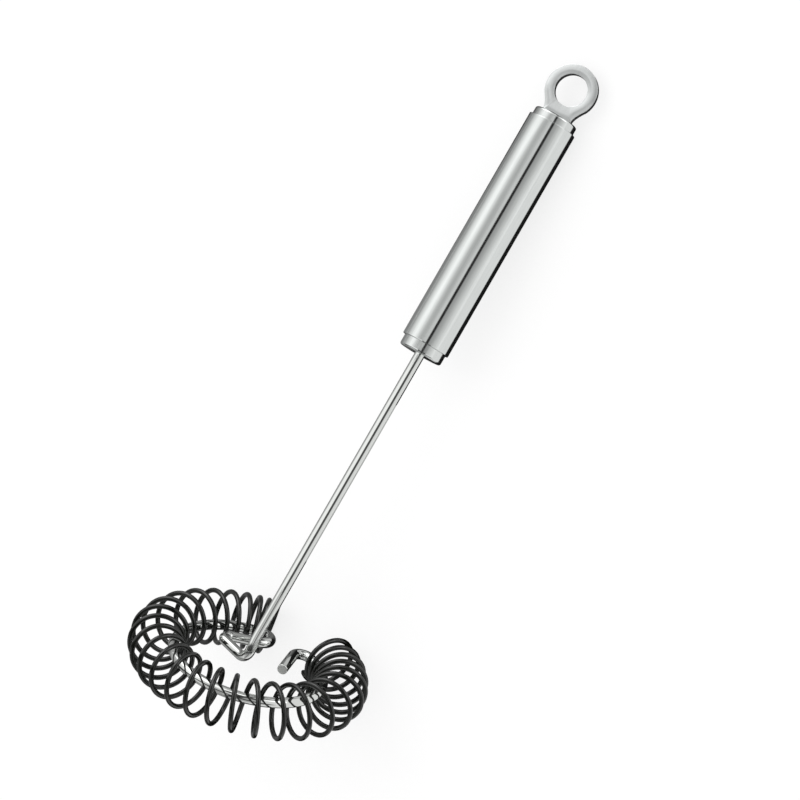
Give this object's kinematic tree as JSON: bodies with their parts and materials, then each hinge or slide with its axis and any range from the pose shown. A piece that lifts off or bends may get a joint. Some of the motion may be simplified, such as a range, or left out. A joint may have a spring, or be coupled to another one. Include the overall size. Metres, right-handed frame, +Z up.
{
  "type": "spiral whisk",
  "caption": "Spiral whisk: a black coated coil spring threaded on a leaning wire ring, with a slim steel shaft, a tubular handle and a flat hanging eye.",
  "frame": {"origin": "middle of the bounding box on the table that the whisk lies on", "axes": "+X along the shaft towards the handle, +Z up, +Y to the side that the wire's double hairpin is on"},
  "size_m": [0.262, 0.087, 0.0798],
  "materials": {
    "polished_steel": "polished stainless steel wire",
    "black_coating": "satin black non-stick coating on spring wire",
    "brushed_steel": "stainless tube brushed along its length",
    "satin_steel": "turned stainless plug, satin",
    "eye_steel": "ground stainless plate with rounded edges"
  },
  "bodies": {
    "handle_and_wire": {"carrier_wire": "polished_steel", "handle_tube": "brushed_steel", "lower_cap": "satin_steel", "upper_cap": "satin_steel", "hanging_ring": "eye_steel"},
    "coil": {"spring": "black_coating"}
  },
  "joints": [
    {"name": "coil_turn", "type": "hinge", "parent": "handle_and_wire", "child": "coil", "pos_m": [-0.10964, -0.0001, 0.03821], "axis": [0.9429, 0.0058, 0.3331], "range_deg": [-1, 9]}
  ]
}
